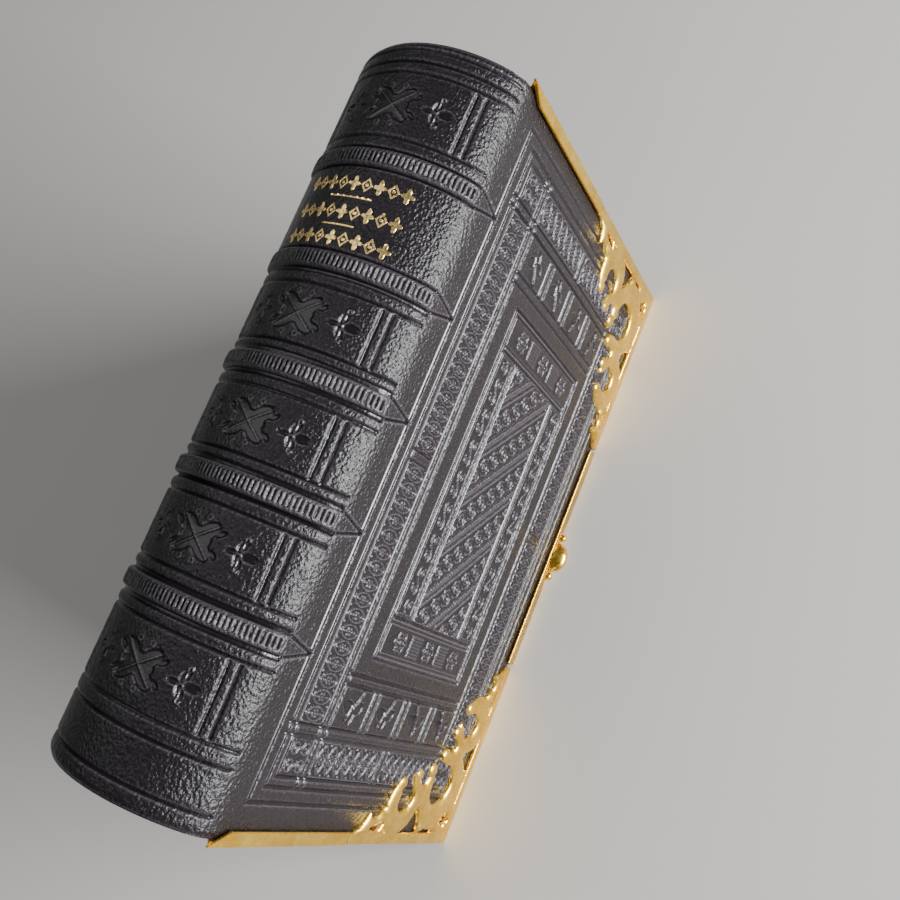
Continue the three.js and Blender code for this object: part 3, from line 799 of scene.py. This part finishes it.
def page_material():
    n = Nodes("page_paper")
    n.set(Roughness=0.82)
    n.link(n.mix(n.noise(45.0, 4.0), (0.78, 0.70, 0.53), (0.86, 0.80, 0.65)), "Base Color")
    n.link(n.bump(n.noise(3000.0, 3.0), 0.00003, 0.5), "Normal")
    return n.material


def gathering_material():
    """Burnished gold on the leaf edges, in fine lines, and plain paper on the leaves' faces."""
    n = Nodes("gilt_gathering")
    leaves = n.noise(1.0, 3.0, n.stretched(9000.0, 30.0, 30.0))
    gold = n.mix(n.remap(leaves, 0.4, 0.62, 0.0, 1.0), (0.50, 0.30, 0.09), (0.88, 0.60, 0.20))
    sideways = n.node("SeparateXYZ", Vector=n.facing()).outputs["X"]
    is_face = n.math("GREATER_THAN", n.math("ABSOLUTE", sideways), 0.75)
    n.link(n.mix(is_face, gold, (0.82, 0.75, 0.58)), "Base Color")
    n.link(n.math("MULTIPLY", n.math("SUBTRACT", 1.0, is_face), 0.85), "Metallic")
    rough = n.remap(leaves, 0.3, 0.7, 0.48, 0.30)
    n.link(n.math("MAXIMUM", rough, n.math("MULTIPLY", is_face, 0.8)), "Roughness")
    n.link(n.bump(leaves, 0.00004, 0.7), "Normal")
    return n.material


def endpaper_material():
    """Cream surface paper, faintly mottled."""
    n = Nodes("endpaper")
    n.set(Roughness=0.7)
    n.link(n.mix(n.noise(25.0, 5.0), (0.80, 0.70, 0.48), (0.88, 0.80, 0.60)), "Base Color")
    n.link(n.bump(n.noise(2200.0, 4.0), 0.00004, 0.5), "Normal")
    return n.material


def board_material():
    n = Nodes("paste_board")
    n.set(Roughness=0.9)
    n.link(n.mix(n.noise(300.0, 5.0), (0.30, 0.23, 0.15), (0.44, 0.36, 0.25)), "Base Color")
    n.link(n.bump(n.noise(1400.0, 4.0), 0.0001, 0.6), "Normal")
    return n.material


def silk_material():
    """Silk worked over a cord in stripes."""
    n = Nodes("headband_silk")
    n.set(Roughness=0.5)
    stripes = n.wave(420.0, "X")
    n.link(n.mix(n.remap(stripes, 0.4, 0.6, 0.0, 1.0), (0.42, 0.07, 0.05), (0.83, 0.66, 0.30)), "Base Color")
    n.link(n.bump(n.wave(1700.0, "X"), 0.00012, 0.8), "Normal")
    return n.material


def cord_material():
    n = Nodes("band_cord")
    n.set(Roughness=0.9)
    n.link(n.mix(n.noise(700.0, 4.0), (0.45, 0.36, 0.22), (0.62, 0.53, 0.36)), "Base Color")
    n.link(n.bump(n.wave(900.0, "DIAGONAL"), 0.0002, 0.8), "Normal")
    return n.material


def gold_leaf_material():
    """Gold leaf pressed into the leather, worn away in places."""
    n = Nodes("gold_leaf")
    n.set(Metallic=1.0)
    wear_and_painted_highlight = n.remap(n.noise(1500.0, 4.0), 0.36, 0.46, 0.0, 1.0)
    n.link(n.mix(wear_and_painted_highlight, (0.36, 0.24, 0.09), (1.0, 0.74, 0.30)), "Base Color")
    n.link(n.remap(n.noise(2400.0, 3.0), 0.3, 0.7, 0.28, 0.45), "Roughness")
    n.link(n.bump(n.cells(1150.0), 0.00012, 0.6), "Normal")
    return n.material


LEATHER = leather_material()
BRASS = brass_material()
PAGE = page_material()
GATHERING = gathering_material()
ENDPAPER = endpaper_material()
BOARD = board_material()
SILK = silk_material()
CORD = cord_material()
GOLD_LEAF = gold_leaf_material()


def finish_piece(obj, material, slot, body, *replaced):
    """Gives a piece its material and its body, and hides the CAD nodes it stands for. slot is not used."""
    if not obj.data.materials:
        obj.data.materials.append(material)
    if replaced:
        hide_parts(*replaced)
    if body:
        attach(obj, body)
    return obj


# ---------- leather pieces ----------

def side_sign(side):
    """1 for the front cover, -1 for the back cover."""
    return 1 if side == "front" else -1


def make_spine():
    obj = leather_skin("spine_leather_skin", steps(-JOINT_START, JOINT_START, GRID))
    finish_piece(obj, LEATHER, "leather", "text_block", "spine_leather")


def make_joint(side):
    """The strip of leather over a joint, from the spine round the shoulder to the cover."""
    sign = side_sign(side)
    obj = leather_skin(f"{side}_joint_leather", sign * steps(JOINT_START, COVER_START, GRID))
    finish_piece(obj, LEATHER, "leather", None)
    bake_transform(obj)


def make_cover(side):
    """The leather on a board, with its outer face tooled."""
    sign = side_sign(side)
    first = COVER_START - TUCK_LENGTH
    last = COVER_START + (JOINT_HEIGHT - JOINT_DROP - LEATHER_LOW[2])
    s_values = sign * np.concatenate([
        np.linspace(first, COVER_START - 0.02, 5),
        steps(COVER_START, last, GRID),
    ])
    y_values = steps(-BOARD_EDGE, BOARD_EDGE, GRID)

    def back(s):
        return sign * LEATHER_BACK, JOINT_HEIGHT - (abs(s) - COVER_START + JOINT_DROP)

    s, y = np.meshgrid(s_values, y_values, indexing="ij")
    height, grain = leather_height(s, y)
    under_joint = np.abs(s) < COVER_START - 0.01
    lowered = np.where(under_joint, -SKIN - TUCK_DEPTH, height)
    x = sign * FACE + sign * lowered
    z = JOINT_HEIGHT - (np.abs(s) - COVER_START + JOINT_DROP)
    name = f"{side}_cover_leather"
    obj = closed_sheet(name, (x, y, z), height, grain, back, s_values, y_values)
    finish_piece(obj, LEATHER, "leather", f"{side}_cover", f"{side}_leather")


make_spine()
for cover_side in ("front", "back"):
    make_joint(cover_side)
    make_cover(cover_side)


# ---------- brass ----------

def casting_distance(a, b):
    """Outline of a pierced corner casting, where a and b are distances from its two edges."""
    along, inward = np.maximum(a, b), np.minimum(a, b)
    solid = outline_distance(along, inward, smooth_outline(CASTING_LEAF + CASTING_LEAF[:1]))
    for scroll in (ARM_SCROLL, CORNER_SCROLL):
        solid = soft_union(solid, scroll_distance(along, inward, *scroll), 0.8)
    for (x, y), radius in CASTING_LINKS:
        solid = soft_union(solid, np.hypot(along - x, inward - y) - radius, 1.2)
    solid = np.maximum(solid, -scroll_opening(along, inward, *ARM_SCROLL[2:6]))
    solid = np.maximum(solid, -scroll_opening(along, inward, *CORNER_SCROLL[2:6]))
    for x, y, radius in tips_of(ARM_SCROLL) + tips_of(CORNER_SCROLL):
        solid = soft_union(solid, np.hypot(along - x, inward - y) - radius, 0.5)
    solid = np.maximum(solid, -outline_distance(along, inward, np.array(CASTING_SLOT)) + 0.25)
    u, v = np.abs(a - QUATREFOIL[0]), np.abs(b - QUATREFOIL[1])
    petals = np.minimum(np.hypot(u - 1.2, v) - 0.85, np.hypot(u, v - 1.2) - 0.85)
    solid = np.minimum(np.maximum(solid, -petals), inward - RIM_FLANGE)
    return np.maximum.reduce([solid, -a, -b, a - CASTING_ARM, b - FORE_ARM])


def soft_union(first, second, soft):
    """The nearer of two shapes, with a fillet where they meet."""
    meet = np.clip(0.5 + (second - first) / (2 * soft), 0, 1)
    return second * (1 - meet) + first * meet - soft * meet * (1 - meet)


def scroll_opening(a, b, opening, radius, way_out, half_width):
    hole = np.hypot(a - opening[0], b - opening[1]) - radius
    return np.minimum(hole, channel(a, b, opening, way_out, half_width, half_width))


def scroll_distance(a, b, centre, radius, *rest):
    """Distance outside a scroll's disc. The rest of the scroll's numbers are for its opening and tips, and
    are not used here.
    """
    return np.hypot(a - centre[0], b - centre[1]) - radius


def tips_of(scroll):
    return [(x, y, scroll[7]) for x, y in scroll[6]]


def rounded(inside, reach):
    """From 0 at an edge to 1 at that reach inside it, as a quarter circle."""
    return np.sqrt(np.clip(1 - (1 - np.clip(inside / reach, 0, 1)) ** 2, 0, 1))


def casting_height(a, b, inside):
    """Puffed scrolls inside a flat border."""
    border = np.minimum(a, b)
    scrolls = CASTING_EDGE + (CASTING_RISE - CASTING_EDGE) * rounded(inside, 2.3)
    flat = CASTING_EDGE + (RIM_FACE - CASTING_BASE - CASTING_EDGE) * rounded(inside, 0.7)
    share = ease((border - RIM_FLANGE + 0.3) / 1.2)
    return flat * (1 - share) + scrolls * share


def make_casting(side, end):
    """A pierced corner casting with its rim, which wraps the board's edges."""
    sign = side_sign(side)
    up = 1 if end == "head" else -1

    def place(a, b, inside, under):
        height = np.zeros_like(a) if under else casting_height(a, b, inside)
        return MIDDLE_X + sign * (CASTING_BASE + height), up * (COVER_HALF - b), a

    def flat(a, b, x):
        return MIDDLE_X + sign * x, up * (COVER_HALF - b), a

    name = f"{side}_{end}_casting"
    spans = ((0.0, CASTING_ARM), (0.0, FORE_ARM))
    plate = relief(name + "_plate", casting_distance, spans, CASTING_CELL, place)

    def corner_strip(width):
        return [(0, 0), (CASTING_ARM, 0), (CASTING_ARM, width),
                (width, width), (width, FORE_ARM), (0, FORE_ARM)]

    wall = slab(name + "_wall", corner_strip(RIM_WALL), RIM_INSIDE + 0.1, CASTING_BASE + 0.3, flat)
    lip = slab(name + "_lip", corner_strip(RIM_LIP), RIM_INSIDE, RIM_INSIDE + LIP_DEPTH, flat)
    obj = join([plate, wall, lip], name + "_brass")
    sharpen(obj, BRASS_CREASE)
    finish_piece(obj, BRASS, "brass", f"{side}_cover", name)


def round_edges(obj, width):
    """Rounds a brass piece's hard edges, and shades it smooth."""
    work = bmesh.new()
    work.from_mesh(obj.data)
    hard = [e for e in work.edges if len(e.link_faces) == 2 and e.calc_face_angle() > math.radians(35)]
    bmesh.ops.bevel(work, geom=hard, offset=width * MM, segments=2, affect="EDGES", clamp_overlap=True)
    bmesh.ops.recalc_face_normals(work, faces=work.faces)
    work.to_mesh(obj.data)
    work.free()
    obj.data.polygons.foreach_set("use_smooth", np.ones(len(obj.data.polygons), bool))
    sharpen(obj, BRASS_CREASE)


def make_rail(side, end):
    """A rim from a casting to the joint, where its end is cut on a slant."""
    sign = side_sign(side)
    up = 1 if end == "head" else -1

    def face_on(a, b, x):
        return MIDDLE_X + sign * x, up * (COVER_HALF - b), a

    def edge_on(a, x, b):
        return MIDDLE_X + sign * x, up * (COVER_HALF - b), a

    first = CASTING_ARM + 0.1
    flange = [(first, 0), (RAIL_END, 0), (RAIL_END - RAIL_SLANT, RIM_FLANGE), (first, RIM_FLANGE)]
    wall = [(first, RIM_INSIDE), (first, CASTING_BASE + 0.3), (RAIL_END - 0.6, CASTING_BASE + 0.3),
            (RAIL_END - RAIL_SLANT, RIM_INSIDE)]
    lip = [(first, 0), (RAIL_END - RAIL_SLANT, 0), (RAIL_END - RAIL_SLANT - 1.5, RIM_LIP), (first, RIM_LIP)]
    name = f"{side}_{end}_rail"
    parts = [slab(name + "_flange", flange, CASTING_BASE, RIM_FACE, face_on),
             slab(name + "_wall", wall, 0.0, RIM_WALL, edge_on),
             slab(name + "_lip", lip, RIM_INSIDE, RIM_INSIDE + LIP_DEPTH, face_on)]
    for part in parts:
        round_edges(part, 0.2)
    obj = join(parts, name + "_brass")
    sharpen(obj, BRASS_CREASE)
    finish_piece(obj, BRASS, "brass", f"{side}_cover", name)


def rounded_copy(node_name, body, width):
    """A CAD piece with its hard edges rounded off."""
    node = frame["nodes"][node_name]
    obj = bpy.data.objects.new(node_name + "_rounded", node.data.copy())
    bpy.context.scene.collection.objects.link(obj)
    obj.matrix_world = node.matrix_world.copy()
    obj.data.materials.clear()
    work = bmesh.new()
    work.from_mesh(obj.data)
    bmesh.ops.remove_doubles(work, verts=work.verts, dist=1e-6)
    bmesh.ops.dissolve_limit(work, angle_limit=math.radians(2), verts=work.verts, edges=work.edges)
    work.to_mesh(obj.data)
    work.free()
    round_edges(obj, width)
    finish_piece(obj, BRASS, "brass", body, node_name)


for cover_side in ("front", "back"):
    for cover_end in ("head", "tail"):
        make_casting(cover_side, cover_end)
        make_rail(cover_side, cover_end)
    rounded_copy(f"{cover_side}_fore_rail", f"{cover_side}_cover", 0.28)
rounded_copy("clasp_strap", "clasp", 0.18)


def ellipsoid(name, centre, radii, nearest_x):
    """A rounded knob, cut flat at its nearest x and at its lowest height."""
    work = bmesh.new()
    shape = Matrix.Translation(Vector(centre) * MM) @ Matrix.Diagonal((*(Vector(radii) * MM), 1.0))
    bmesh.ops.create_uvsphere(work, u_segments=48, v_segments=24, radius=1.0, matrix=shape)
    for vertex in work.verts:
        vertex.co.z = max(vertex.co.z, KNOB_LOWEST * MM)
        vertex.co.x = max(vertex.co.x, nearest_x * MM)
    mesh = bpy.data.meshes.new(name)
    work.to_mesh(mesh)
    work.free()
    obj = bpy.data.objects.new(name, mesh)
    bpy.context.scene.collection.objects.link(obj)
    return obj


def make_lug():
    """The clasp's end: a cupped lobe between two beads, on a small bar."""
    low, high = (np.array(corner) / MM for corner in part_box("clasp_lug"))
    base = high[0] - LUG_REACH
    corners = [(low[0], -LUG_HALF), (base, -LUG_HALF), (base, LUG_HALF), (low[0], LUG_HALF)]

    def flat(a, b, h):
        return a, b, h

    cut = base + KNOB_GAP
    lobe = (LUG_REACH, LOBE_HALF, LOBE_HEIGHT)
    parts = [slab("lug_bar", corners, low[2], high[2], flat),
             ellipsoid("lug_lobe", (base, 0, LOBE_CENTRE), lobe, cut)]
    for side in (-1, 1):
        centre = (base + BEAD_REACH, side * BEAD_PLACE, BEAD_CENTRE)
        parts.append(ellipsoid("lug_bead", centre, (BEAD_RADIUS,) * 3, cut))
    obj = join(parts, "clasp_lug_brass")
    obj.data.polygons.foreach_set("use_smooth", np.ones(len(obj.data.polygons), bool))
    sharpen(obj, BRASS_CREASE)
    finish_piece(obj, BRASS, "brass", "clasp", "clasp_lug")


make_lug()


# ---------- gold on the spine ----------

def gold_distance(s, v):
    """Rows of small flowers and lozenges, with two rules between the rows."""
    result = np.full(s.shape, 1e9)
    for place, half in GOLD_RULES:
        result = np.minimum(result, np.maximum(np.abs(s) - half, np.abs(v - place) - 0.24))
    for place, pitch in GOLD_ROWS:
        m, w = nearest(s, pitch), v - place
        number = np.round(s / pitch)
        petals = np.minimum(ellipse(np.abs(m) - 0.85, w, 0.8, 0.55), ellipse(m, np.abs(w) - 1.0, 0.55, 0.95))
        lozenge = (np.abs(m) * 1.25 + np.abs(w) - 1.9) / 1.6
        ring = np.maximum(lozenge, -(lozenge + 0.46))
        motif = np.where(number % 2 == 0, petals, np.minimum(ring, np.hypot(m, w) - 0.45))
        result = np.minimum(result, np.where(np.abs(number) <= GOLD_REACH / pitch, motif, 1e9))
    return np.minimum(result, 5.0)


def make_gold():
    """Gold leaf that follows the tooled leather under it."""
    def place(s, v, inside, under):
        y = COVER_HALF - v
        x, z, nx, nz = section(s)
        height, _ = leather_height(s, y)
        lift = height + np.where(under, -GOLD_DEPTH, GOLD_LIFT)
        return MIDDLE_X + x + nx * lift, y, z + nz * lift

    obj = relief("spine_gold_ornament", gold_distance, GOLD_SPANS, GOLD_CELL, place)
    finish_piece(obj, GOLD_LEAF, "brass", "text_block")


make_gold()


# ---------- CAD pieces that stay ----------

def dress_cad_nodes():
    """Gives each CAD piece that is shown the material of its slot."""
    looks = {"board": BOARD, "endpaper": ENDPAPER, "paper": PAGE, "cord": CORD, "silk": SILK,
             "brass": BRASS, "leaves": GATHERING, "leather": LEATHER}
    slots = {entry["node"]: entry["material_slot"] for entry in frame["record"]["subparts"]}
    for name, node in frame["nodes"].items():
        material = looks[slots[name]]
        for entry in node.material_slots:
            entry.material = material
        if not node.material_slots:
            node.data.materials.append(material)


dress_cad_nodes()


# ---------- stage ----------

FLOOR_HALF = 3000
FLOOR_COLOUR = (0.52, 0.505, 0.48)


def make_floor():
    half = FLOOR_HALF
    points = [(-half, -half, 0), (half, -half, 0), (half, half, 0), (-half, half, 0)]
    floor = new_mesh("floor", points, [(0, 1, 2, 3)], smooth=False)
    n = Nodes("pale_floor")
    n.set(Roughness=0.85, Base_Color=(*FLOOR_COLOUR, 1.0))
    floor.data.materials.append(n.material)


def area_light(name, place, aim, size, power, colour=(1.0, 1.0, 1.0)):
    data = bpy.data.lights.new(name, "AREA")
    data.shape = "RECTANGLE"
    data.size, data.size_y = size
    data.energy = power
    data.color = colour
    light = bpy.data.objects.new(name, data)
    light.location = place
    light.rotation_euler = (Vector(aim) - Vector(place)).to_track_quat("-Z", "Y").to_euler()
    bpy.context.scene.collection.objects.link(light)


def make_lights():
    centre = (0, 0, 0.07)
    area_light("window", (1.12, 0.2, 0.34), centre, (0.8, 0.2), 58.0, (0.97, 0.985, 1.0))
    area_light("overhead", (-0.62, 0.15, 1.2), centre, (0.9, 0.9), 4.5)
    area_light("side_fill", (0.4, -1.1, 0.5), centre, (0.3, 0.3), 1.2, (1.0, 0.95, 0.88))
    world = bpy.data.worlds.new("studio")
    world.use_nodes = True
    world.node_tree.nodes["Background"].inputs["Color"].default_value = (0.75, 0.77, 0.8, 1.0)
    world.node_tree.nodes["Background"].inputs["Strength"].default_value = 0.15
    bpy.context.scene.world = world


# The camera looks down on the spine and the front cover, with the head away from it
CAMERA_PLACE = (144.5, -32.7, 278.8)
CAMERA_RIGHT = (0.824, 0.377, -0.423)
CAMERA_UP = (-0.247, 0.911, 0.331)
LENS = 39.2


def make_camera():
    data = bpy.data.cameras.new("camera")
    data.sensor_width = 36.0
    data.lens = LENS
    data.clip_start = 0.01
    camera = bpy.data.objects.new("camera", data)
    right, up = Vector(CAMERA_RIGHT).normalized(), Vector(CAMERA_UP)
    up = (up - up.dot(right) * right).normalized()
    back = right.cross(up)
    turn = Matrix((right, up, back)).transposed().to_4x4()
    place = Vector((CAMERA_PLACE[0] + MIDDLE_X, CAMERA_PLACE[1], CAMERA_PLACE[2])) * MM
    camera.matrix_world = Matrix.Translation(place) @ turn
    bpy.context.scene.collection.objects.link(camera)
    bpy.context.scene.camera = camera


make_floor()
make_lights()
make_camera()
